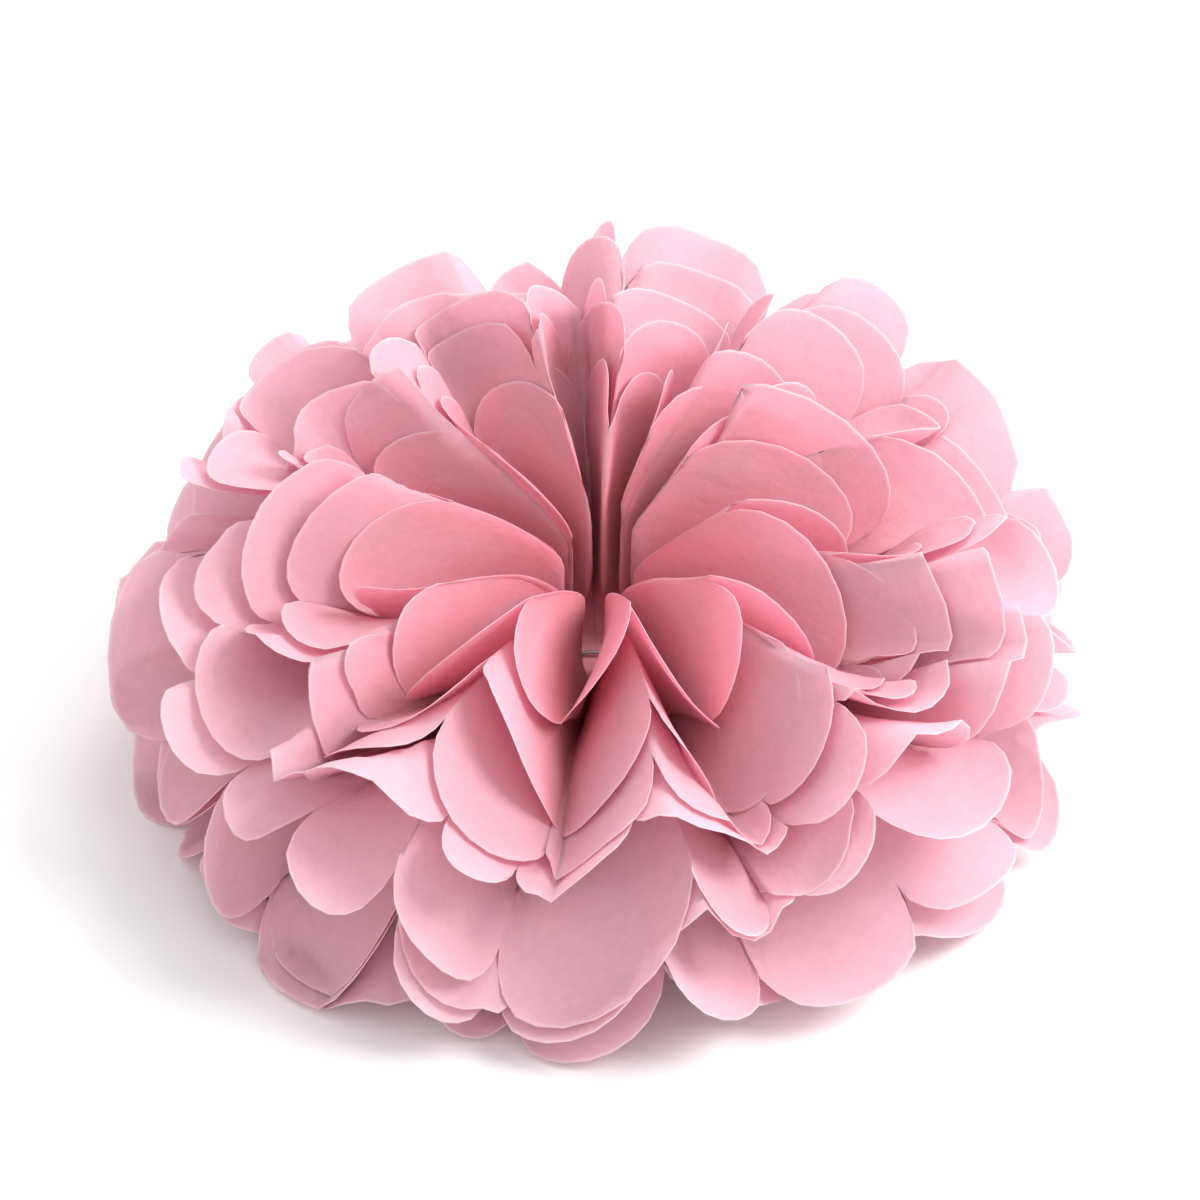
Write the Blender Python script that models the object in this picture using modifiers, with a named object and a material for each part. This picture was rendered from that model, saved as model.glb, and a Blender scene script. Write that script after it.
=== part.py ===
"""Tissue paper pom pom: eight accordion-folded sheets tied at the waist and fanned open, and the tie wire.

Each sheet is one flat strip of tissue, folded into panels across X and running along Y through the tie.
Both ends fan out over half a turn, so the first and last panels meet along +X and -X.
"""

import math

import bmesh
import bpy
import numpy as np

# Sheets
SHEETS = 8
PANELS = 11                 # accordion panels across one sheet
PANEL_WIDTH = 0.0355        # crease to crease
REACH = 0.121               # tie to petal tip on the lower sheets
SHORTER = 0.38              # share of the reach cut off the highest sheet
FULL_FROM = 0.70            # share of the way down the stack from which sheets are full length
SCALLOP_DEPTH = 0.0140      # how far a notch lies inside the round of a petal
SOLID_THICKNESS = 0.0003    # tissue with the air it holds
PANEL_STEPS = 3             # mesh columns in one panel
INNER_ROWS = (0.013, 0.028, 0.045)  # mesh rows, by distance from the tie
OUTER_ROWS = (0.4, 0.75, 1.0)  # and the rest, as shares of what is left
# Distances from the tie at which the layers are kept apart
RINGS = (0.006, 0.012, 0.022, 0.034, 0.047, 0.060, 0.075, 0.092, 0.110, 0.128)

# Tie
WAIST_WIDTH = 0.009
WAIST_DEPTH = 0.003         # how far the gathered waist bulges each side of the tie
SLIT_HALF = 0.0011          # half the slit between the two fans of a sheet
TIE_HEIGHT = 0.0205         # lowest sheet at the tie, above the floor
SHEET_PITCH = 0.0008        # sheet to sheet in the bundle
SPREAD_START = 0.019        # from the tie to where a sheet has turned to its own slope

# Fan: angles from straight up, in degrees
FIRST_SLOPE = 42.0          # highest sheet
LAST_SLOPE = 87.5           # lowest sheet
LATE_SHARE = 0.24           # how much faster the last sheets drop away
LEAN = 12.5                 # the open face leans to the front by this much
LEAN_FADE = 0.84            # share of the lean that is gone at the lowest sheet
INNER_LIFT = 7.0            # a petal starts this much steeper
TIP_FALL = 3.0              # and ends this much flatter
PLEAT_SHARE = 0.95          # folded depth kept after opening
STEEPEST_PLEAT = 6.5        # rise over run of a panel away from the tie
LEAST_TURN = 4.5            # degrees round the fan from crease to crease
EYE_RADIUS = 0.005         # kept free round the middle of the flower
LEAST_GAP = 0.0029          # kept between neighbouring sheets away from the tie
SEAM_ANGLE = 1.2            # degrees between a sheet's edge and the seam

# Unevenness from pulling the layers apart by hand
SEED = 11
CREASE_JITTER = 4.0         # degrees round the fan, shared by all the sheets
DRIFT = 4.5                 # degrees round the fan, one sheet against another
LIFT_JITTER = 7.0           # degrees up or down at a petal's end
WAVE = 4.0                  # degrees, slow change round the fan
REACH_JITTER = 0.035

# Tie wire
WIRE_RADIUS = 0.0005
WIRE_GAP = 0.0006
TWIST_RADIUS = 0.0007
TWIST_LENGTH = 0.010
TWIST_TURNS = 3

PINK = (0.905, 0.42, 0.50, 1.0)
WIRE_GREY = (0.42, 0.43, 0.44, 1.0)


def clear_scene():
    for obj in list(bpy.data.objects):
        bpy.data.objects.remove(obj, do_unlink=True)


def material(name, colour, roughness, metallic):
    made = bpy.data.materials.new(name)
    made.use_nodes = True
    shader = made.node_tree.nodes["Principled BSDF"]
    shader.inputs["Base Color"].default_value = colour
    shader.inputs["Roughness"].default_value = roughness
    shader.inputs["Metallic"].default_value = metallic
    return made


def smooth(x):
    x = np.clip(x, 0.0, 1.0)
    return x * x * (3.0 - 2.0 * x)


class Unevenness:
    """Every random draw of the pom pom, in a fixed order."""

    def __init__(self):
        draw = np.random.default_rng(SEED)
        shape = (SHEETS, 2, PANELS + 1)
        self.shared = draw.uniform(-1, 1, (2, PANELS + 1)) * CREASE_JITTER
        self.drift = draw.uniform(-1, 1, shape) * DRIFT
        self.lift = draw.normal(0, 0.5, shape) * LIFT_JITTER
        self.reach = 1.0 + draw.uniform(-1, 1, (SHEETS, 2, PANELS)) * REACH_JITTER
        self.phase = draw.uniform(0, 2 * math.pi, (SHEETS, 3))
        for part in (self.shared, self.drift):
            part[..., 0] = 0.0
            part[..., -1] = 0.0


def sheet_reach(sheet):
    share = sheet / (SHEETS - 1)
    return REACH * (1.0 - SHORTER * max(0.0, 1.0 - share / FULL_FROM) ** 1.6)


def mean_slope(share):
    eased = (1.0 - LATE_SHARE) * share + LATE_SHARE * share ** 3
    return FIRST_SLOPE + (LAST_SLOPE - FIRST_SLOPE) * eased


def crease_turns(rough, sheet, half, rho):
    """Angles round the fan of one sheet's creases, in degrees, at a distance from the tie."""
    even = np.linspace(SEAM_ANGLE, 180.0 - SEAM_ANGLE, PANELS + 1)
    turns = even + rough.shared[half] * smooth(rho / 0.035) + rough.drift[sheet, half] * smooth(rho / 0.085)
    for crease in range(1, PANELS):
        last = turns[-1] - LEAST_TURN * (PANELS - crease)
        turns[crease] = min(max(turns[crease], turns[crease - 1] + LEAST_TURN), last)
    return turns


def crease_slopes(rough, sheet, half, rho, turns):
    """Angles from straight up of one sheet's creases, in degrees, before the layers are kept apart."""
    share = sheet / (SHEETS - 1)
    out = min(rho / sheet_reach(sheet), 1.0)
    mean = mean_slope(share) - INNER_LIFT + (INNER_LIFT + TIP_FALL) * float(smooth((out - 0.3) / 0.7))
    facing = np.sin(np.radians(turns)) * (1.0 if half == 1 else -1.0)
    own = mean + LEAN * (1.0 - LEAN_FADE * share ** 3) * facing
    opened = 90.0 + (own - 90.0) * smooth(rho / SPREAD_START)
    across = rho * math.sin(math.radians(mean)) * np.radians(np.diff(turns))
    deep = 0.5 * np.sqrt(np.maximum(PANEL_WIDTH ** 2 - across ** 2, 0.0)) * PLEAT_SHARE
    deep = np.minimum(deep, STEEPEST_PLEAT * float(smooth(rho / 0.045)) * across / 2)
    deep = np.concatenate([deep[:1], (deep[1:] + deep[:-1]) / 2, deep[-1:]])
    sign = np.where(np.arange(PANELS + 1) % 2 == 0, 1.0, -1.0)
    pleat = sign * np.degrees(deep / rho)
    whole = np.radians(turns + 180.0 * half)
    wave = sum(np.cos((k + 1) * whole + rough.phase[sheet, k]) / (k + 1) for k in range(3))
    return opened + pleat + (rough.lift[sheet, half] + WAVE * wave) * smooth(out) * out


def keep_apart(turns, slopes, above, rho):
    """Raises a sheet's angles from straight up until it lies below the sheet above it everywhere."""
    gap = math.degrees(LEAST_GAP * float(smooth(rho / 0.02)) / rho)
    fine = np.linspace(SEAM_ANGLE, 180.0 - SEAM_ANGLE, 40 * PANELS + 1)
    for _ in range(4):
        short = above + gap - np.interp(fine, turns, slopes)
        for index in range(len(turns)):
            low = turns[max(index - 1, 0)]
            high = turns[min(index + 1, PANELS)]
            slopes[index] += max(0.0, short[(fine >= low) & (fine <= high)].max()) * 0.6
    slopes += max(0.0, (above + gap - np.interp(fine, turns, slopes)).max())
    return np.interp(fine, turns, slopes)


def fan_field(rough):
    """Crease angles at each ring, as (rings, sheets, 2 halves, creases), for turns and slopes."""
    turns = np.zeros((len(RINGS), SHEETS, 2, PANELS + 1))
    slopes = np.zeros_like(turns)
    for ring, rho in enumerate(RINGS):
        for half in range(2):
            above = np.full(40 * PANELS + 1, math.degrees(math.asin(min(1.0, EYE_RADIUS / rho))))
            for sheet in range(SHEETS):
                turn = crease_turns(rough, sheet, half, rho)
                slope = crease_slopes(rough, sheet, half, rho, turn)
                above = keep_apart(turn, slope, above, rho)
                turns[ring, sheet, half] = turn
                slopes[ring, sheet, half] = slope
    return turns, slopes


def read_field(field, rho, across):
    """The field's value, in radians, for each column at its own distance from the tie."""
    rings = np.array(RINGS)
    ring = np.clip(np.searchsorted(rings, rho) - 1, 0, len(rings) - 2)
    part = np.clip((rho - rings[ring]) / (rings[ring + 1] - rings[ring]), 0.0, 1.0)
    creases = np.arange(PANELS + 1)
    rows = np.array([np.interp(across, creases, values) for values in field])
    index = np.arange(len(across))
    return np.radians(rows[ring, index] * (1.0 - part) + rows[ring + 1, index] * part)


def sheet_height(sheet):
    return TIE_HEIGHT + SHEET_PITCH * (SHEETS - 1 - sheet)


def sheet_points(rough, turns, slopes, sheet):
    """The sheet's middle surface as an array (rows along the strip, columns across it, 3)."""
    columns = PANELS * PANEL_STEPS + 1
    across = np.arange(columns) / PANEL_STEPS
    panel = np.minimum(across.astype(int), PANELS - 1)
    inside = np.clip(2.0 * (across - panel) - 1.0, -1.0, 1.0)
    dip = 1.0 - np.sqrt(np.clip(1.0 - np.abs(inside) ** 2.4, 0.0, 1.0))
    along = 1.0 - 2.0 * across / PANELS
    halves = []
    for half, side in ((0, 1.0), (1, -1.0)):
        base = np.stack([WAIST_WIDTH / 2 * along,
                         side * (SLIT_HALF + WAIST_DEPTH * np.sqrt(1.0 - along ** 2)),
                         np.full(columns, sheet_height(sheet))], axis=1)
        length = sheet_reach(sheet) * np.where(dip < 0.999, rough.reach[sheet, half][panel], 1.0)
        tip = length - SCALLOP_DEPTH * dip
        rows = [base]
        outer = [INNER_ROWS[-1] + share * (tip - INNER_ROWS[-1]) for share in OUTER_ROWS]
        for rho in (*INNER_ROWS, *outer):
            rho = rho * np.ones(columns)
            turn = read_field(turns[:, sheet, half], rho, across)
            slope = read_field(slopes[:, sheet, half], rho, across)
            step = np.stack([np.sin(slope) * np.cos(turn), side * np.sin(slope) * np.sin(turn),
                             np.cos(slope)], axis=1)
            rows.append(base + step * rho[:, None])
        halves.append(rows)
    return np.array(halves[1][::-1] + halves[0])


def settle(points, sheet):
    """Lays what would hang below the floor flat on it, or on the sheets under it."""
    lowest = SOLID_THICKNESS / 2 + LEAST_GAP * (SHEETS - 1 - sheet)
    points[..., 2] = np.maximum(points[..., 2], lowest)
    return points


def sheet_object(name, points, colour, collection):
    rows, columns = points.shape[:2]
    mesh = bpy.data.meshes.new(name)
    shape = bmesh.new()
    bmesh.ops.create_grid(shape, x_segments=columns - 1, y_segments=rows - 1, size=0.5)
    shape.verts.ensure_lookup_table()
    for vert in shape.verts:
        column = round((vert.co.x + 0.5) * (columns - 1))
        row = round((vert.co.y + 0.5) * (rows - 1))
        vert.co = points[row, column]
    shape.to_mesh(mesh)
    shape.free()
    obj = bpy.data.objects.new(name, mesh)
    collection.objects.link(obj)
    skin = obj.modifiers.new("Thickness", "SOLIDIFY")
    skin.thickness = SOLID_THICKNESS
    skin.offset = 0.0
    bpy.context.view_layer.update()
    graph = bpy.context.evaluated_depsgraph_get()
    solid = bpy.data.meshes.new_from_object(obj.evaluated_get(graph))
    obj.modifiers.clear()
    obj.data = solid
    bpy.data.meshes.remove(mesh)
    solid.name = name
    for vert in solid.vertices:
        if vert.co.z < SOLID_THICKNESS * 0.4:
            vert.co.z = 0.0
    solid.materials.clear()
    solid.materials.append(colour)
    return obj


def tie_path():
    """One wire: up the twist, once round the waist of the bundle and down the twist again."""
    half_width = WAIST_WIDTH / 2 + SOLID_THICKNESS + WIRE_GAP + WIRE_RADIUS
    top = sheet_height(0) + SOLID_THICKNESS / 2 + WIRE_GAP + WIRE_RADIUS
    bottom = sheet_height(SHEETS - 1) - SOLID_THICKNESS / 2 - WIRE_GAP - WIRE_RADIUS
    middle = (top + bottom) / 2
    half_height = (top - bottom) / 2
    twist_top = bottom - 0.0012
    steps = 8 * TWIST_TURNS
    down = []
    for index in range(steps + 1):
        turn = 2 * math.pi * TWIST_TURNS * index / steps
        z = twist_top - TWIST_LENGTH * index / steps
        down.append((TWIST_RADIUS * math.cos(turn), TWIST_RADIUS * math.sin(turn), z))
    up = [(-x, -y, z) for x, y, z in reversed(down)]
    loop = []
    for index in range(1, 24):
        turn = 2 * math.pi * index / 24
        squarer = (abs(math.cos(turn)) ** 4 + abs(math.sin(turn)) ** 4) ** -0.25
        loop.append((-half_width * math.sin(turn) * squarer, 0.0,
                     middle - half_height * math.cos(turn) * squarer))
    return up + loop + down


def tie_wire(colour, middle, collection):
    path = tie_path()
    curve = bpy.data.curves.new("tie_wire", "CURVE")
    curve.dimensions = "3D"
    curve.bevel_depth = WIRE_RADIUS
    curve.bevel_resolution = 2
    curve.use_fill_caps = True
    spline = curve.splines.new("POLY")
    spline.points.add(len(path) - 1)
    for point, (x, y, z) in zip(spline.points, path):
        point.co = (x - middle[0], y - middle[1], z, 1.0)
    curve.materials.append(colour)
    obj = bpy.data.objects.new("tie_wire", curve)
    collection.objects.link(obj)
    return obj


def main():
    clear_scene()
    collection = bpy.data.collections.new("tissue_pom_pom")
    bpy.context.scene.collection.children.link(collection)
    rough = Unevenness()
    turns, slopes = fan_field(rough)
    layers = [settle(sheet_points(rough, turns, slopes, sheet), sheet) for sheet in range(SHEETS)]
    spread = np.concatenate([points.reshape(-1, 3) for points in layers])
    middle = (spread.min(axis=0) + spread.max(axis=0)) / 2
    middle[2] = 0.0
    for number, points in enumerate(layers, 1):
        colour = material(f"tissue_{number}", PINK, 0.9, 0.0)
        sheet_object(f"tissue_sheet_{number}", points - middle, colour, collection)
    tie_wire(material("tie_wire_steel", WIRE_GREY, 0.4, 1.0), middle, collection)


if __name__ == "__main__":
    main()
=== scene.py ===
"""Tissue paper pom pom: eight pleated sheets of pink tissue, tied at the waist with wire and fanned open."""

import logging
import math
from dataclasses import dataclass, field
from enum import Enum

import bpy
import numpy as np
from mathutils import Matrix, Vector


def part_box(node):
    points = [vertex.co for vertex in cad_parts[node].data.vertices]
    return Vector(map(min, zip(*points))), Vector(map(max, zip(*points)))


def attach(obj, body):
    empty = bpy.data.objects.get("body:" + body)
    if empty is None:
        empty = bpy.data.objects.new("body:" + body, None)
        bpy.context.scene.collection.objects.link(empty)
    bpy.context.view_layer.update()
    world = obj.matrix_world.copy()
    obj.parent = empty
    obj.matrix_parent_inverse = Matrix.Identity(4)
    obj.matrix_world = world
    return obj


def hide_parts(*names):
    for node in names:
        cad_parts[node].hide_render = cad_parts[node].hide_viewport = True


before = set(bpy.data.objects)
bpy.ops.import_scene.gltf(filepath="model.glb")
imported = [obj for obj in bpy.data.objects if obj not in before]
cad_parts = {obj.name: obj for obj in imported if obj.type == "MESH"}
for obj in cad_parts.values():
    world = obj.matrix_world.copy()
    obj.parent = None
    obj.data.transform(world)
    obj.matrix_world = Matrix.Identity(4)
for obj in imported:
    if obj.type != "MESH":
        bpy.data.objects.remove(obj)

LOG = logging.getLogger("pom_pom")


class Fan(Enum):
    """The two ends of a strip of tissue, each opened into half of the flower."""

    BACK = 0
    FRONT = 1

    @property
    def side(self) -> float:
        """Which way along Y this end of the strip runs from the tie."""
        return 1.0 if self is Fan.BACK else -1.0


def smooth(x: float | np.ndarray) -> float | np.ndarray:
    """Ease from 0 to 1.

    Args:
        x: A number or an array.
    Returns:
        The eased value, 0 below 0 and 1 above 1.
    """
    x = np.clip(x, 0.0, 1.0)
    return x * x * (3.0 - 2.0 * x)


# ---------------------------------------------------------------------------------------------------
# Finishes
# ---------------------------------------------------------------------------------------------------


class Graph:
    """Short ways to add and join nodes in one tree."""

    def __init__(self, tree: bpy.types.NodeTree) -> None:
        """Keep the tree that nodes are added to."""
        self.tree = tree

    def add(self, kind: str, settings: dict | None = None, **values: object) -> bpy.types.Node:
        """Add one node.

        Args:
            kind: The node's type name.
            settings: Properties of the node itself.
            values: Input sockets by name, with underscores for spaces; a socket is linked, else set.
        Returns:
            The new node.
        """
        node = self.tree.nodes.new(kind)
        for key, value in (settings or {}).items():
            setattr(node, key, value)
        for key, value in values.items():
            self.feed(node.inputs[key.replace("_", " ")], value)
        return node

    def feed(self, socket: bpy.types.NodeSocket, value: object) -> None:
        """Link a socket, or set its value."""
        if isinstance(value, bpy.types.NodeSocket):
            self.tree.links.new(value, socket)
        else:
            socket.default_value = value

    def maths(self, operation: str, *values: object) -> bpy.types.NodeSocket:
        """Add a Math node.

        Args:
            operation: The operation's name.
            values: Its inputs in order.
        Returns:
            The result.
        """
        node = self.tree.nodes.new("ShaderNodeMath")
        node.operation = operation
        for socket, value in zip(node.inputs, values):
            self.feed(socket, value)
        return node.outputs[0]

    def blend(self, factor: object, first: object, second: object, kind: str = "MIX") -> bpy.types.NodeSocket:
        """Mix two colours.

        Args:
            factor: Share of the second.
            first: A colour or a socket.
            second: A colour or a socket.
            kind: The way they are mixed.
        Returns:
            The mixed colour.
        """
        node = self.tree.nodes.new("ShaderNodeMix")
        node.data_type = "RGBA"
        node.blend_type = kind
        for socket, value in zip((node.inputs[0], node.inputs[6], node.inputs[7]), (factor, first, second)):
            self.feed(socket, value)
        return node.outputs[2]


@dataclass(frozen=True)
class TissueFinish:
    """Dyed tissue paper: matt and thin enough for light to come through. Its colour has painted shade, deeper
    pink near the tie, and painted light, paler towards the tips and along the cut edge.
    """

    # Painted shade: deeper pink near the tie, standing in for the shade and bounced light deep in the folds.
    painted_shade_root: tuple = (0.985, 0.450, 0.540, 1.0)
    face: tuple = (0.975, 0.620, 0.710, 1.0)
    # Painted light: paler pink at the petal tips, where the outer petals are most lit.
    tip: tuple = (0.960, 0.705, 0.775, 1.0)
    # Painted highlight: paler paper along the cut edge, where the edge catches the light.
    cut: tuple = (0.985, 0.830, 0.860, 1.0)
    cloudy: tuple = (0.910, 0.650, 0.745, 1.0)
    roughness: float = 0.86
    see_through: float = 0.50
    painted_rim_width: float = 0.0011
    mottle_size: float = 0.016
    fibre_size: float = 0.0016
    bump: float = 0.22

    def material(self, name: str, number: int) -> bpy.types.Material:
        """Make the finish of one sheet.

        Args:
            name: The material's name.
            number: Which sheet, so that no two are mottled alike.
        Returns:
            The material.
        """
        made = bpy.data.materials.new(name)
        made.use_nodes = True
        made.node_tree.nodes.clear()
        graph = Graph(made.node_tree)
        flat = graph.add("ShaderNodeUVMap", {"uv_map": "flat_sheet"}).outputs[0]
        out = graph.add("ShaderNodeAttribute", {"attribute_name": "from_tie"}).outputs["Fac"]
        edge = graph.add("ShaderNodeAttribute", {"attribute_name": "to_cut"}).outputs["Fac"]
        colour = self.colour(graph, flat, out, edge, number)
        bump = self.crumple(graph, flat, number)
        shader = graph.add("ShaderNodeBsdfPrincipled", None, Base_Color=colour, Normal=bump)
        shader.inputs["Roughness"].default_value = self.roughness
        shader.inputs["Specular IOR Level"].default_value = 0.18
        glow = graph.add("ShaderNodeBsdfTranslucent", None, Color=colour, Normal=bump)
        both = graph.add("ShaderNodeMixShader")
        both.inputs[0].default_value = self.see_through
        graph.feed(both.inputs[1], shader.outputs[0])
        graph.feed(both.inputs[2], glow.outputs[0])
        graph.add("ShaderNodeOutputMaterial", None, Surface=both.outputs[0])
        made.diffuse_color = self.face
        return made

    def colour(self, graph: Graph, flat: bpy.types.NodeSocket, out: bpy.types.NodeSocket,
               edge: bpy.types.NodeSocket, number: int) -> bpy.types.NodeSocket:
        """Colour from the tie to the cut end: painted shade near the tie, painted light at the tips, cloudy
        patches and a painted highlight along the cut.

        Args:
            graph: The material's nodes.
            flat: Place on the flat sheet.
            out: Share of the way from the tie.
            edge: Distance to the cut end, in metres.
            number: Which sheet.
        Returns:
            The colour.
        """
        # Painted shade: deep pink near the tie that fades into the face colour by 0.72 of the way out.
        painted_shade_fade = graph.add("ShaderNodeMapRange", None, Value=out)
        painted_shade_fade.inputs["From Min"].default_value = 0.25
        painted_shade_fade.inputs["From Max"].default_value = 0.72
        # Painted light: paler towards the tips.
        painted_tip_light = graph.add("ShaderNodeMapRange", None, Value=out)
        painted_tip_light.inputs["From Min"].default_value = 0.66
        painted_tip_light.inputs["From Max"].default_value = 1.0
        paper = graph.blend(painted_shade_fade.outputs[0], self.painted_shade_root, self.face)
        paper = graph.blend(painted_tip_light.outputs[0], paper, self.tip)
        cloud = graph.add("ShaderNodeTexNoise", {"noise_dimensions": "4D"}, Vector=flat,
                          W=float(number), Scale=1.0 / self.mottle_size, Detail=3.0)
        patch = graph.add("ShaderNodeMapRange", None, Value=cloud.outputs[0])
        patch.inputs["From Min"].default_value = 0.44
        patch.inputs["From Max"].default_value = 0.70
        patch.inputs["To Max"].default_value = 0.42
        paper = graph.blend(patch.outputs[0], paper, self.cloudy)
        fibre = graph.add("ShaderNodeTexNoise", {"noise_dimensions": "4D"}, Vector=flat,
                          W=float(number) + 0.5, Scale=1.0 / self.fibre_size, Detail=4.0)
        grain = graph.add("ShaderNodeMapRange", None, Value=fibre.outputs[0])
        grain.inputs["To Min"].default_value = 0.90
        grain.inputs["To Max"].default_value = 1.06
        paper = graph.blend(1.0, paper, grain.outputs[0], "MULTIPLY")
        # Painted highlight: paler paper over the last millimetre before the cut edge.
        painted_rim_highlight = graph.add("ShaderNodeMapRange", None, Value=edge)
        painted_rim_highlight.inputs["From Max"].default_value = self.painted_rim_width
        painted_rim_highlight.inputs["To Min"].default_value = 0.75
        painted_rim_highlight.inputs["To Max"].default_value = 0.0
        return graph.blend(painted_rim_highlight.outputs[0], paper, self.cut)

    def crumple(self, graph: Graph, flat: bpy.types.NodeSocket, number: int) -> bpy.types.NodeSocket:
        """Fine wrinkles and fibres too small to model.

        Args:
            graph: The material's nodes.
            flat: Place on the flat sheet.
            number: Which sheet.
        Returns:
            The bumped normal.
        """
        wrinkle = graph.add("ShaderNodeTexNoise", {"noise_dimensions": "4D"}, Vector=flat,
                            W=float(number) + 7.0, Scale=190.0, Detail=5.0, Distortion=0.6)
        fibre = graph.add("ShaderNodeTexNoise", {"noise_dimensions": "4D"}, Vector=flat,
                          W=float(number) + 9.0, Scale=1.0 / self.fibre_size, Detail=2.0)
        height = graph.maths("ADD", graph.maths("MULTIPLY", wrinkle.outputs[0], 1.0),
                             graph.maths("MULTIPLY", fibre.outputs[0], 0.25))
        bump = graph.add("ShaderNodeBump", None, Height=height)
        bump.inputs["Strength"].default_value = self.bump
        bump.inputs["Distance"].default_value = 0.0012
        return bump.outputs[0]


@dataclass(frozen=True)
class WireFinish:
    """Annealed steel florist's wire, slightly scratched."""

    steel: tuple = (0.42, 0.43, 0.44, 1.0)
    dull: tuple = (0.27, 0.27, 0.28, 1.0)

    def material(self, name: str) -> bpy.types.Material:
        """Make the wire's finish.

        Args:
            name: The material's name.
        Returns:
            The material.
        """
        made = bpy.data.materials.new(name)
        made.use_nodes = True
        made.node_tree.nodes.clear()
        graph = Graph(made.node_tree)
        place = graph.add("ShaderNodeTexCoord").outputs["Object"]
        rub = graph.add("ShaderNodeTexNoise", None, Vector=place, Scale=900.0, Detail=3.0)
        colour = graph.blend(rub.outputs[0], self.dull, self.steel)
        bump = graph.add("ShaderNodeBump", None, Height=rub.outputs[0])
        bump.inputs["Strength"].default_value = 0.15
        bump.inputs["Distance"].default_value = 0.0001
        shader = graph.add("ShaderNodeBsdfPrincipled", None, Base_Color=colour, Normal=bump.outputs[0])
        shader.inputs["Metallic"].default_value = 1.0
        shader.inputs["Roughness"].default_value = 0.42
        graph.add("ShaderNodeOutputMaterial", None, Surface=shader.outputs[0])
        return made


# ---------------------------------------------------------------------------------------------------
# The shape of the opened pleats
# ---------------------------------------------------------------------------------------------------


@dataclass(frozen=True)
class FoldPlan:
    """Sizes of the folded strip and of the fans it opens into, in metres and degrees."""

    sheets: int = 8
    panels: int = 11
    panel_width: float = 0.0355
    reach: float = 0.121
    shorter: float = 0.38
    full_from: float = 0.70
    scallop_depth: float = 0.0140
    scallop_power: float = 2.2
    waist_width: float = 0.009
    waist_depth: float = 0.003
    slit_half: float = 0.0009
    tie_height: float = 0.0205
    sheet_pitch: float = 0.0008
    spread_start: float = 0.019
    first_slope: float = 42.0
    last_slope: float = 87.5
    late_share: float = 0.24
    lean: float = 12.5
    lean_fade: float = 0.84
    inner_lift: float = 7.0
    tip_fall: float = 3.0
    pleat_share: float = 0.95
    steepest_pleat: float = 8.0
    eye_radius: float = 0.0050
    floor_press: float = 0.0008
    least_gap: float = 0.0014
    seam_angle: float = 0.4
    least_turn: float = 4.5

    def flat_size(self, sheet: int) -> tuple[float, float]:
        """Width across the pleats and length along the strip of one sheet before folding."""
        return self.panels * self.panel_width, 2.0 * self.sheet_reach(sheet)

    def flat_area(self, sheet: int) -> float:
        """Area of one sheet once its ends are cut into scallops."""
        inside = np.linspace(-1.0, 1.0, 2001)
        dip = 1.0 - (1.0 - np.abs(inside) ** self.scallop_power) ** (1.0 / self.scallop_power)
        lost = 2 * self.panels * self.panel_width * self.scallop_depth * float(dip.mean())
        width, length = self.flat_size(sheet)
        return width * length - lost

    def sheet_reach(self, sheet: int) -> float:
        """Straight distance from the tie to a sheet's petal tips; the high petals cup and reach less."""
        share = sheet / (self.sheets - 1)
        return self.reach * (1.0 - self.shorter * max(0.0, 1.0 - share / self.full_from) ** 1.6)

    def mean_slope(self, share: float) -> float:
        """Angle from straight up of a whole sheet, in degrees; the last sheets drop away faster."""
        eased = (1.0 - self.late_share) * share + self.late_share * share ** 3
        return self.first_slope + (self.last_slope - self.first_slope) * eased

    def floor_slope(self, sheet: int, rho: float) -> float:
        """Angle from straight up, in degrees, at which a sheet lies on the floor or on those under it."""
        drop = self.least_gap * (self.sheets - 1 - sheet) - self.floor_press - self.sheet_height(sheet)
        return math.degrees(math.acos(max(drop / rho, -1.0)))

    def sheet_height(self, sheet: int) -> float:
        """Height of a sheet where the wire grips it."""
        return self.tie_height + self.sheet_pitch * (self.sheets - 1 - sheet)


class Fluff:
    """Every random draw: how unevenly the layers were pulled apart. Angles are in degrees."""

    LAYER_SEED = 11
    PETAL_SEED = 23
    SHARED_TURN = 4.0
    OWN_TURN = 4.5
    LIFT = 7.0
    TOP_SHEETS = 2
    TOP_LIFT = 1.5
    UNEVEN_REACH = 0.035
    BULGE = 3.2
    CURL = 4.5
    CURL_DOWN = 0.35
    PARTING = 6.0

    def __init__(self, plan: FoldPlan) -> None:
        """Draw everything in a fixed order.

        Args:
            plan: The sizes, for how many sheets and panels there are.
        """
        draw = np.random.default_rng(self.LAYER_SEED)
        creases = (plan.sheets, 2, plan.panels + 1)
        panels = (plan.sheets, 2, plan.panels)
        self.shared = draw.uniform(-1, 1, (2, plan.panels + 1)) * self.SHARED_TURN
        self.drift = draw.uniform(-1, 1, creases) * self.OWN_TURN
        self.lift = draw.normal(0, 0.5, creases) * self.LIFT
        self.lift[:self.TOP_SHEETS] *= self.TOP_LIFT
        self.reach = 1.0 + draw.uniform(-1, 1, panels) * self.UNEVEN_REACH
        self.phase = draw.uniform(0, 2 * math.pi, (plan.sheets, 3))
        for part in (self.shared, self.drift):
            part[..., 0] = 0.0
            part[..., -1] = 0.0
        fine = np.random.default_rng(self.PETAL_SEED)
        self.bulge = fine.normal(0.0, 1.0, panels) * self.BULGE
        self.curl = fine.normal(self.CURL_DOWN, 1.0, panels) * self.CURL
        self.parting = fine.uniform(-1.0, 1.0, (plan.sheets, 2)) * self.PARTING


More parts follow.
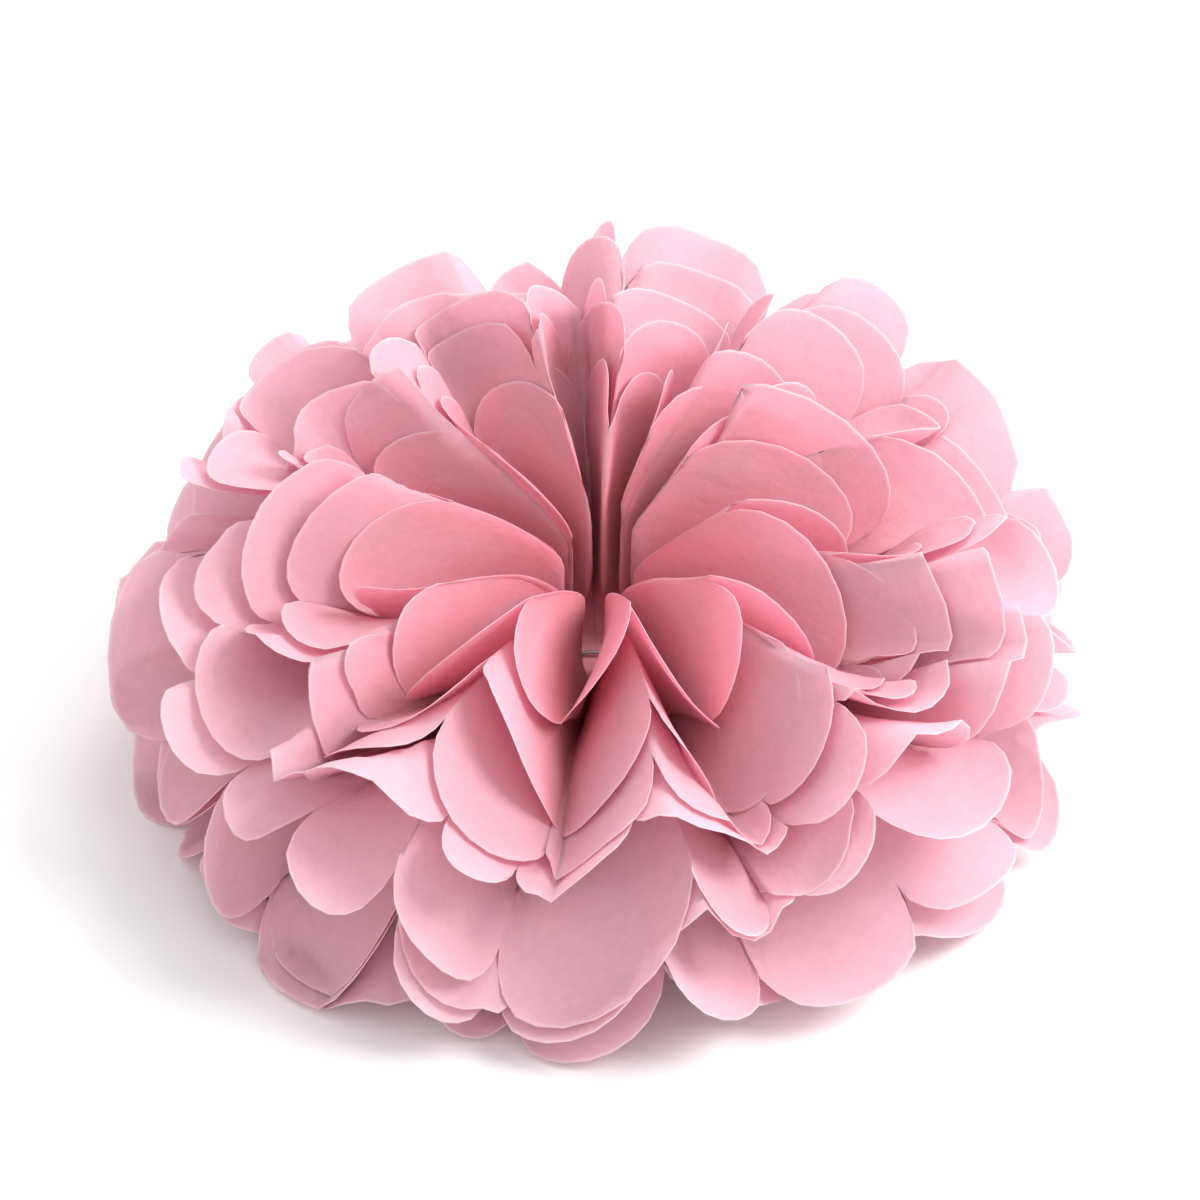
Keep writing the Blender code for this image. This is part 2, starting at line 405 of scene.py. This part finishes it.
@dataclass
class OpenedFans:
    """Angles of every sheet all round the flower, with each sheet kept below the one above it."""

    plan: FoldPlan
    fluff: Fluff
    steps: tuple = (0.0, 0.015, 0.06, 0.14, 0.24, 0.36, 0.5, 0.64, 0.76, 0.86, 0.94, 0.985)
    rings: np.ndarray = field(default_factory=lambda: np.linspace(0.004, 0.132, 33))
    wave: float = 4.0

    def __post_init__(self) -> None:
        """Work out the columns across a sheet and both angle fields."""
        cells = [panel + step for panel in range(self.plan.panels) for step in self.steps]
        self.across = np.array(cells + [float(self.plan.panels)])
        self.panel = np.minimum(self.across.astype(int), self.plan.panels - 1)
        self.inside = self.across - self.panel
        shape = (len(self.rings), self.plan.sheets, 2, len(self.across))
        self.turns = np.zeros(shape)
        self.slopes = np.zeros(shape)
        for ring, rho in enumerate(self.rings):
            for fan in Fan:
                self.settle_ring(ring, float(rho), fan.value)

    def crease_turns(self, sheet: int, half: int, rho: float) -> np.ndarray:
        """Angles round the fan of one sheet's creases, in degrees.

        Args:
            sheet: Which sheet, from 0.
            half: Which fan.
            rho: Distance from the tie.
        Returns:
            One angle for each crease.
        """
        plan, fluff = self.plan, self.fluff
        even = np.linspace(plan.seam_angle, 180.0 - plan.seam_angle, plan.panels + 1)
        turns = even + fluff.shared[half] * smooth(rho / 0.035)
        turns += fluff.drift[sheet, half] * smooth(rho / 0.085)
        parting = fluff.parting[sheet] * smooth(rho / 0.10) * (1.0 if half == Fan.BACK.value else -1.0)
        turns[0] += parting[0]
        turns[-1] -= parting[1]
        for crease in range(1, plan.panels):
            last = turns[-1] - plan.least_turn * (plan.panels - crease)
            turns[crease] = min(max(turns[crease], turns[crease - 1] + plan.least_turn), last)
        return turns

    def crease_slopes(self, sheet: int, half: int, rho: float, turns: np.ndarray) -> np.ndarray:
        """Angles from straight up of one sheet's creases, in degrees, before layers are kept apart.

        Args:
            sheet: Which sheet, from 0.
            half: Which fan.
            rho: Distance from the tie.
            turns: The creases' angles round the fan.
        Returns:
            One angle for each crease.
        """
        plan, fluff = self.plan, self.fluff
        share = sheet / (plan.sheets - 1)
        out = min(rho / plan.sheet_reach(sheet), 1.0)
        mean = plan.mean_slope(share) - plan.inner_lift
        mean += (plan.inner_lift + plan.tip_fall) * float(smooth((out - 0.3) / 0.7))
        facing = np.sin(np.radians(turns)) * (1.0 if half == Fan.FRONT.value else -1.0)
        own = mean + plan.lean * (1.0 - plan.lean_fade * share ** 3) * facing
        opened = 90.0 + (own - 90.0) * smooth(rho / plan.spread_start)
        across = rho * math.sin(math.radians(mean)) * np.radians(np.diff(turns))
        deep = 0.5 * np.sqrt(np.maximum(plan.panel_width ** 2 - across ** 2, 0.0)) * plan.pleat_share
        deep = np.minimum(deep, plan.steepest_pleat * float(smooth(rho / 0.034)) * across / 2)
        deep = np.concatenate([deep[:1], (deep[1:] + deep[:-1]) / 2, deep[-1:]])
        sign = np.where(np.arange(plan.panels + 1) % 2 == 0, 1.0, -1.0)
        pleat = sign * np.degrees(deep / rho)
        whole = np.radians(turns + 180.0 * half)
        wave = sum(np.cos((k + 1) * whole + fluff.phase[sheet, k]) / (k + 1) for k in range(3))
        return opened + pleat + (fluff.lift[sheet, half] + self.wave * wave) * smooth(out) * out

    def settle_ring(self, ring: int, rho: float, half: int) -> None:
        """Fill both fields at one distance from the tie, from the highest sheet to the lowest.

        Args:
            ring: Which ring.
            rho: Its distance from the tie.
            half: Which fan.
        """
        plan, fluff = self.plan, self.fluff
        gap = math.degrees(plan.least_gap * float(smooth(rho / 0.02)) / rho)
        creases = np.arange(plan.panels + 1)
        above_turns = np.array([0.0, 180.0])
        above = np.full(2, math.degrees(math.asin(min(1.0, plan.eye_radius / rho)))) - gap
        for sheet in range(plan.sheets):
            out = min(rho / plan.sheet_reach(sheet), 1.0)
            crease_turn = self.crease_turns(sheet, half, rho)
            crease_slope = self.crease_slopes(sheet, half, rho, crease_turn)
            turn = np.interp(self.across, creases, crease_turn)
            slope = np.interp(self.across, creases, crease_slope)
            middle = 4.0 * self.inside * (1.0 - self.inside)
            slope = slope + fluff.bulge[sheet, half][self.panel] * middle * float(smooth(out * 1.3))
            late = float(smooth((out - 0.62) / 0.38))
            slope = slope + fluff.curl[sheet, half][self.panel] * (0.25 + 0.75 * middle) * late
            slope = np.maximum(slope, np.interp(turn, above_turns, above) + gap)
            self.turns[ring, sheet, half] = turn
            self.slopes[ring, sheet, half] = np.minimum(slope, plan.floor_slope(sheet, rho))
            above_turns, above = turn, slope

    def read(self, values: np.ndarray, rho: np.ndarray) -> np.ndarray:
        """One field at each column's own distance from the tie.

        Args:
            values: The field of one sheet and fan, as (rings, columns).
            rho: Distance from the tie for each column.
        Returns:
            The angles, in radians.
        """
        ring = np.clip(np.searchsorted(self.rings, rho) - 1, 0, len(self.rings) - 2)
        part = (rho - self.rings[ring]) / (self.rings[ring + 1] - self.rings[ring])
        part = np.clip(part, 0.0, 1.0)
        column = np.arange(len(self.across))
        return np.radians(values[ring, column] * (1.0 - part) + values[ring + 1, column] * part)


# ---------------------------------------------------------------------------------------------------
# Sheets
# ---------------------------------------------------------------------------------------------------


@dataclass
class CrinkleTree:
    """The node tree that crumples a sheet along its own normals and gives it its finish."""

    name: str = "tissue_crinkle"
    identifiers: dict = field(default_factory=dict)

    def build(self) -> bpy.types.NodeTree:
        """Make the tree.

        Returns:
            The tree, with its inputs' identifiers kept in self.identifiers.
        """
        tree = bpy.data.node_groups.new(self.name, "GeometryNodeTree")
        face = tree.interface
        face.new_socket("Geometry", in_out="OUTPUT", socket_type="NodeSocketGeometry")
        for label, kind in (("Sheet", "Geometry"), ("Crease Height", "Float"), ("Crease Size", "Float"),
                            ("Buckle Height", "Float"), ("Buckle Size", "Float"), ("Seed", "Float"),
                            ("Tissue", "Material")):
            made = face.new_socket(label, in_out="INPUT", socket_type=f"NodeSocket{kind}")
            self.identifiers[label] = made.identifier
        graph = Graph(tree)
        given = graph.add("NodeGroupInput").outputs
        flat = graph.add("GeometryNodeInputNamedAttribute", {"data_type": "FLOAT_VECTOR"}, Name="flat_place")
        free = graph.add("GeometryNodeInputNamedAttribute", {"data_type": "FLOAT"}, Name="freedom")
        fine = self.relief(graph, flat.outputs[0], given["Crease Size"], given["Crease Height"],
                           given["Seed"], 2.0)
        broad = self.relief(graph, flat.outputs[0], given["Buckle Size"], given["Buckle Height"],
                            graph.maths("ADD", given["Seed"], 31.0), 0.0)
        height = graph.maths("MULTIPLY", graph.maths("ADD", fine, broad), free.outputs[0])
        push = graph.add("ShaderNodeVectorMath", {"operation": "SCALE"},
                         Scale=height)
        graph.feed(push.inputs[0], graph.add("GeometryNodeInputNormal").outputs[0])
        moved = graph.add("GeometryNodeSetPosition", None, Geometry=given["Sheet"], Offset=push.outputs[0])
        real = graph.add("GeometryNodeRealizeInstances", None, Geometry=moved.outputs[0])
        dressed = graph.add("GeometryNodeSetMaterial", None, Geometry=real.outputs[0],
                            Material=given["Tissue"])
        graph.add("NodeGroupOutput", None, Geometry=dressed.outputs[0])
        return tree

    def relief(self, graph: Graph, flat: bpy.types.NodeSocket, size: bpy.types.NodeSocket,
               height: bpy.types.NodeSocket, seed: bpy.types.NodeSocket,
               detail: float) -> bpy.types.NodeSocket:
        """Noise over the flat sheet, centred on nothing.

        Args:
            graph: The tree's nodes.
            flat: Place on the flat sheet, in metres.
            size: Size of one wrinkle.
            height: Its full height.
            seed: The noise's fourth coordinate.
            detail: How many finer layers it has.
        Returns:
            The height.
        """
        noise = graph.add("ShaderNodeTexNoise", {"noise_dimensions": "4D"}, Vector=flat, W=seed,
                          Scale=graph.maths("DIVIDE", 1.0, size), Detail=detail)
        return graph.maths("MULTIPLY", graph.maths("SUBTRACT", noise.outputs[0], 0.5), height)


@dataclass
class TissueSheet:
    """One sheet of tissue: a pleated strip with scalloped ends, gripped in the middle."""

    number: int
    fans: OpenedFans
    centre: Vector
    thickness: float = 0.00014
    row_shares: tuple = (0.04, 0.075, 0.11, 0.15, 0.19, 0.235, 0.28, 0.325, 0.37, 0.415, 0.46, 0.505, 0.55,
                         0.595, 0.64, 0.685, 0.73, 0.77, 0.81, 0.845, 0.88, 0.91, 0.935, 0.957, 0.975,
                         0.988, 0.9945, 1.0)
    crease_height: float = 0.0011
    crease_size: float = 0.013
    buckle_height: float = 0.0048
    buckle_size: float = 0.034
    floor_press: float = 0.0012
    slack: float = 0.02
    paper_rest: float = 0.0006
    least_height: float = 0.00005

    @property
    def name(self) -> str:
        """The sheet's name, which its CAD node shares."""
        return f"tissue_sheet_{self.number}"

    def tips(self, fan: Fan) -> np.ndarray:
        """Distance from the tie to the cut end, column by column."""
        plan, fans = self.fans.plan, self.fans
        inside = np.abs(2.0 * fans.inside - 1.0)
        dip = 1.0 - (1.0 - np.clip(inside, 0, 1) ** plan.scallop_power) ** (1.0 / plan.scallop_power)
        uneven = fans.fluff.reach[self.number - 1, fan.value][fans.panel]
        uneven = 1.0 + (uneven - 1.0) * smooth((1.0 - inside) / 0.25)
        return plan.sheet_reach(self.number - 1) * uneven - plan.scallop_depth * dip

    def points(self) -> dict[str, np.ndarray]:
        """The sheet's surface and what each point knows about the flat sheet.

        Returns:
            Arrays of (rows, columns): place, from_tie, to_cut and flat_place.
        """
        plan, fans = self.fans.plan, self.fans
        sheet = self.number - 1
        along = 1.0 - 2.0 * fans.across / plan.panels
        found = {"place": [], "from_tie": [], "to_cut": [], "flat_place": []}
        for fan in (Fan.FRONT, Fan.BACK):
            base = np.stack([plan.waist_width / 2 * along,
                             fan.side * (plan.slit_half + plan.waist_depth * np.sqrt(1.0 - along ** 2)),
                             np.full(len(along), plan.sheet_height(sheet))], axis=1)
            tip = self.tips(fan)
            shares = (0.0, *self.row_shares)
            for share in shares if fan is Fan.BACK else shares[::-1]:
                rho = share * tip
                turn = fans.read(fans.turns[:, sheet, fan.value], rho)
                slope = fans.read(fans.slopes[:, sheet, fan.value], rho)
                step = np.stack([np.sin(slope) * np.cos(turn), fan.side * np.sin(slope) * np.sin(turn),
                                 np.cos(slope)], axis=1)
                found["place"].append(base + step * rho[:, None])
                found["from_tie"].append(rho / plan.reach)
                found["to_cut"].append(tip - rho)
                found["flat_place"].append(np.stack([fans.across * plan.panel_width, fan.side * rho,
                                                     np.full(len(rho), float(self.number))], axis=1))
        return {key: np.array(rows) for key, rows in found.items()}

    def raw_sheet(self) -> bpy.types.Object:
        """The sheet as one grid, with its attributes and its flat layout.

        Returns:
            The object, not yet crumpled or thickened.
        """
        found = self.points()
        rows, columns = found["place"].shape[:2]
        mesh = bpy.data.meshes.new(self.name)
        index = np.arange(rows * columns).reshape(rows, columns)
        faces = np.stack([index[:-1, :-1], index[:-1, 1:], index[1:, 1:], index[1:, :-1]], axis=2)
        spot = found["place"].reshape(-1, 3) + np.array([self.centre.x, self.centre.y, 0.0])
        mesh.from_pydata(spot.tolist(), [], faces.reshape(-1, 4).tolist())
        self.note(mesh, "from_tie", "FLOAT", found["from_tie"].ravel())
        self.note(mesh, "to_cut", "FLOAT", found["to_cut"].ravel())
        self.note(mesh, "flat_place", "FLOAT_VECTOR", found["flat_place"].ravel())
        self.note(mesh, "freedom", "FLOAT", smooth(found["from_tie"].ravel() / 0.55))
        layout = mesh.uv_layers.new(name="flat_sheet")
        corners = np.array([loop.vertex_index for loop in mesh.loops])
        spread = found["flat_place"].reshape(-1, 3)[corners, :2]
        layout.data.foreach_set("uv", spread.astype(np.float32).ravel())
        mesh.polygons.foreach_set("use_smooth", np.ones(len(mesh.polygons), bool))
        made = bpy.data.objects.new(self.name + "_raw", mesh)
        bpy.context.scene.collection.objects.link(made)
        return made

    def note(self, mesh: bpy.types.Mesh, name: str, kind: str, values: np.ndarray) -> None:
        """Store one value for each point.

        Args:
            mesh: The mesh.
            name: The attribute's name.
            kind: Its data type.
            values: The flat array of values.
        """
        made = mesh.attributes.new(name, kind, "POINT")
        made.data.foreach_set("value" if kind == "FLOAT" else "vector", values.astype(np.float32))

    def build(self, tree: bpy.types.NodeTree, identifiers: dict,
              tissue: bpy.types.Material) -> bpy.types.Object:
        """Make, crumple, thicken and settle the sheet.

        Args:
            tree: The crumpling tree.
            identifiers: Its inputs by label.
            tissue: The sheet's finish.
        Returns:
            The finished piece, a plain mesh.
        """
        raw = self.raw_sheet()
        crinkle = raw.modifiers.new("Crinkle", "NODES")
        crinkle.node_group = tree
        for label, value in (("Crease Height", self.crease_height), ("Crease Size", self.crease_size),
                             ("Buckle Height", self.buckle_height), ("Buckle Size", self.buckle_size),
                             ("Seed", 3.7 * self.number), ("Tissue", tissue)):
            crinkle[identifiers[label]] = value
        skin = raw.modifiers.new("Thickness", "SOLIDIFY")
        skin.thickness = self.thickness
        skin.offset = 0.0
        bpy.context.view_layer.update()
        graph = bpy.context.evaluated_depsgraph_get()
        mesh = bpy.data.meshes.new_from_object(raw.evaluated_get(graph))
        bpy.data.objects.remove(raw, do_unlink=True)
        self.settle(mesh)
        piece = bpy.data.objects.new(f"visual_{self.name}", mesh)
        bpy.context.scene.collection.objects.link(piece)
        return piece

    def settle(self, mesh: bpy.types.Mesh) -> None:
        """Lay on the floor what would hang below it.

        Args:
            mesh: The thickened sheet.
        """
        places = np.zeros(len(mesh.vertices) * 3, np.float32)
        mesh.vertices.foreach_get("co", places)
        places = places.reshape(-1, 3)
        rest = self.floor_press * (self.fans.plan.sheets - self.number)
        under = places[:, 2] < rest
        places[under, 2] = rest + self.slack * (places[under, 2] - rest) + self.paper_rest
        places[:, 2] = np.maximum(places[:, 2], self.least_height)
        mesh.vertices.foreach_set("co", places.ravel())
        mesh.update()

    def dress(self, piece: bpy.types.Object) -> None:
        """Tie the piece to the frame and log the share of its flat sheet's area that it keeps.

        Args:
            piece: The finished sheet.
        """
        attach(piece, "root")
        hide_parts(self.name)
        plan = self.fans.plan
        kept = sum(face.area for face in piece.data.polygons) / 2 / plan.flat_area(self.number - 1)
        LOG.info("%s keeps %.3f of its flat area", piece.name, kept)
        plan.flat_size(self.number - 1)
        plan.flat_area(self.number - 1)


# ---------------------------------------------------------------------------------------------------
# Tie wire
# ---------------------------------------------------------------------------------------------------


@dataclass
class TieWire:
    """One wire: up the twist, round the waist of the bundle and down the twist again."""

    plan: FoldPlan
    centre: Vector
    radius: float = 0.0005
    clearance: float = 0.0009
    twist_radius: float = 0.0007
    twist_length: float = 0.010
    twist_turns: int = 3
    loop_points: int = 64
    sides: int = 16

    def path(self) -> list[tuple[float, float, float]]:
        """The wire's centreline.

        Returns:
            Points from one end to the other.
        """
        plan = self.plan
        half_width = plan.waist_width / 2 + self.clearance + self.radius
        top = plan.sheet_height(0) + self.clearance + self.radius
        bottom = plan.sheet_height(plan.sheets - 1) - self.clearance - self.radius
        middle, half_height = (top + bottom) / 2, (top - bottom) / 2
        steps = 24 * self.twist_turns
        down = []
        for index in range(steps + 1):
            turn = 2 * math.pi * self.twist_turns * index / steps
            z = bottom - 0.0012 - self.twist_length * index / steps
            down.append((self.twist_radius * math.cos(turn), self.twist_radius * math.sin(turn), z))
        up = [(-x, -y, z) for x, y, z in reversed(down)]
        loop = []
        for index in range(1, self.loop_points):
            turn = 2 * math.pi * index / self.loop_points
            square = (abs(math.cos(turn)) ** 4 + abs(math.sin(turn)) ** 4) ** -0.25
            loop.append((-half_width * math.sin(turn) * square, 0.0,
                         middle - half_height * math.cos(turn) * square))
        return up + loop + down

    def tree(self) -> tuple[bpy.types.NodeTree, dict]:
        """The node tree that gives a centreline its round wire.

        Returns:
            The tree and its inputs' identifiers.
        """
        tree = bpy.data.node_groups.new("round_wire", "GeometryNodeTree")
        tree.interface.new_socket("Geometry", in_out="OUTPUT", socket_type="NodeSocketGeometry")
        names = {}
        for label, kind in (("Centreline", "Geometry"), ("Radius", "Float"), ("Sides", "Int"),
                            ("Steel", "Material")):
            made = tree.interface.new_socket(label, in_out="INPUT", socket_type=f"NodeSocket{kind}")
            names[label] = made.identifier
        graph = Graph(tree)
        given = graph.add("NodeGroupInput").outputs
        line = graph.add("GeometryNodeMeshToCurve", None, Mesh=given["Centreline"])
        ring = graph.add("GeometryNodeCurvePrimitiveCircle", None, Resolution=given["Sides"],
                         Radius=given["Radius"])
        tube = graph.add("GeometryNodeCurveToMesh", None, Curve=line.outputs[0],
                         Profile_Curve=ring.outputs[0], Fill_Caps=True)
        real = graph.add("GeometryNodeRealizeInstances", None, Geometry=tube.outputs[0])
        round_ = graph.add("GeometryNodeSetShadeSmooth", None, Geometry=real.outputs[0])
        dressed = graph.add("GeometryNodeSetMaterial", None, Geometry=round_.outputs[0],
                            Material=given["Steel"])
        graph.add("NodeGroupOutput", None, Geometry=dressed.outputs[0])
        return tree, names

    def build(self, steel: bpy.types.Material) -> bpy.types.Object:
        """Make the wire.

        Args:
            steel: Its finish.
        Returns:
            The finished piece, a plain mesh.
        """
        points = [(x + self.centre.x, y + self.centre.y, z) for x, y, z in self.path()]
        line = bpy.data.meshes.new("wire_line")
        line.from_pydata(points, [(k, k + 1) for k in range(len(points) - 1)], [])
        raw = bpy.data.objects.new("wire_line", line)
        bpy.context.scene.collection.objects.link(raw)
        tree, names = self.tree()
        tube = raw.modifiers.new("Wire", "NODES")
        tube.node_group = tree
        for label, value in (("Radius", self.radius), ("Sides", self.sides), ("Steel", steel)):
            tube[names[label]] = value
        bpy.context.view_layer.update()
        graph = bpy.context.evaluated_depsgraph_get()
        mesh = bpy.data.meshes.new_from_object(raw.evaluated_get(graph))
        bpy.data.objects.remove(raw, do_unlink=True)
        piece = bpy.data.objects.new("visual_tie_wire", mesh)
        bpy.context.scene.collection.objects.link(piece)
        return piece

    def dress(self, piece: bpy.types.Object) -> None:
        """Tie the wire to the frame."""
        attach(piece, "root")
        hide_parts("tie_wire")


# ---------------------------------------------------------------------------------------------------
# Studio
# ---------------------------------------------------------------------------------------------------


@dataclass(frozen=True)
class Lamp:
    """One soft square lamp."""

    name: str
    place: tuple
    size: float
    power: float
    colour: tuple = (1.0, 1.0, 1.0)


@dataclass
class Studio:
    """White floor, soft light and the camera."""

    aim: Vector
    distance: float = 1.05
    elevation: float = 38.5
    frame_width: float = 0.3105
    world: float = 0.97
    lamps: tuple = (
        Lamp("key", (0.90, -0.10, 0.85), 0.6, 12.5, (1.0, 0.99, 0.98)),
        Lamp("back", (0.25, 0.90, 0.75), 0.7, 6.5),
    )

    def build(self) -> None:
        """Set up floor, world, lamps and camera."""
        bpy.ops.mesh.primitive_plane_add(size=8.0, location=(0.0, 0.0, -0.0005))
        floor = bpy.context.active_object
        floor.name = "studio_floor"
        white = bpy.data.materials.new("studio_white")
        white.use_nodes = True
        shader = white.node_tree.nodes["Principled BSDF"]
        shader.inputs["Base Color"].default_value = (0.93, 0.93, 0.93, 1.0)
        shader.inputs["Roughness"].default_value = 1.0
        shader.inputs["Specular IOR Level"].default_value = 0.0
        floor.data.materials.append(white)
        scene = bpy.context.scene
        scene.world = scene.world or bpy.data.worlds.new("studio")
        scene.world.use_nodes = True
        sky = scene.world.node_tree.nodes["Background"]
        sky.inputs["Color"].default_value = (1.0, 1.0, 1.0, 1.0)
        sky.inputs["Strength"].default_value = self.world
        scene.view_settings.view_transform = "Standard"
        for lamp in self.lamps:
            self.hang(lamp)
        self.set_camera()

    def hang(self, lamp: Lamp) -> None:
        """Place one lamp, turned to the flower.

        Args:
            lamp: Its sizes.
        """
        light = bpy.data.lights.new(lamp.name, "AREA")
        light.size = lamp.size
        light.energy = lamp.power
        light.color = lamp.colour
        made = bpy.data.objects.new(lamp.name, light)
        made.location = lamp.place
        made.rotation_euler = (self.aim - Vector(lamp.place)).to_track_quat("-Z", "Y").to_euler()
        bpy.context.scene.collection.objects.link(made)

    def set_camera(self) -> None:
        """Place the camera above the front of the flower."""
        eye = bpy.data.cameras.new("camera")
        eye.lens = 36.0 * self.distance / self.frame_width
        eye.clip_start = 0.05
        made = bpy.data.objects.new("camera", eye)
        low = math.radians(self.elevation)
        back = Vector((0.0, -math.cos(low), math.sin(low)))
        made.location = self.aim + back * self.distance
        made.rotation_euler = (-back).to_track_quat("-Z", "Y").to_euler()
        bpy.context.scene.collection.objects.link(made)
        bpy.context.scene.camera = made


def main() -> None:
    """Build every piece in order."""
    logging.basicConfig(level=logging.INFO, format="%(message)s")
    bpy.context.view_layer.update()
    low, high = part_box("tie_wire")
    centre = (low + high) / 2
    plan = FoldPlan()
    fans = OpenedFans(plan, Fluff(plan))
    crinkle = CrinkleTree()
    tree = crinkle.build()
    finish = TissueFinish()
    for number in range(1, plan.sheets + 1):
        sheet = TissueSheet(number, fans, centre)
        piece = sheet.build(tree, crinkle.identifiers, finish.material(f"tissue_{number}_paper", number))
        sheet.dress(piece)
        LOG.info("%s: %d faces", piece.name, len(piece.data.polygons))
    wire = TieWire(plan, centre)
    piece = wire.build(WireFinish().material("tie_wire_annealed"))
    wire.dress(piece)
    LOG.info("%s: %d faces", piece.name, len(piece.data.polygons))
    Studio(aim=Vector((centre.x, centre.y, 0.045))).build()


if __name__ == "__main__":
    main()
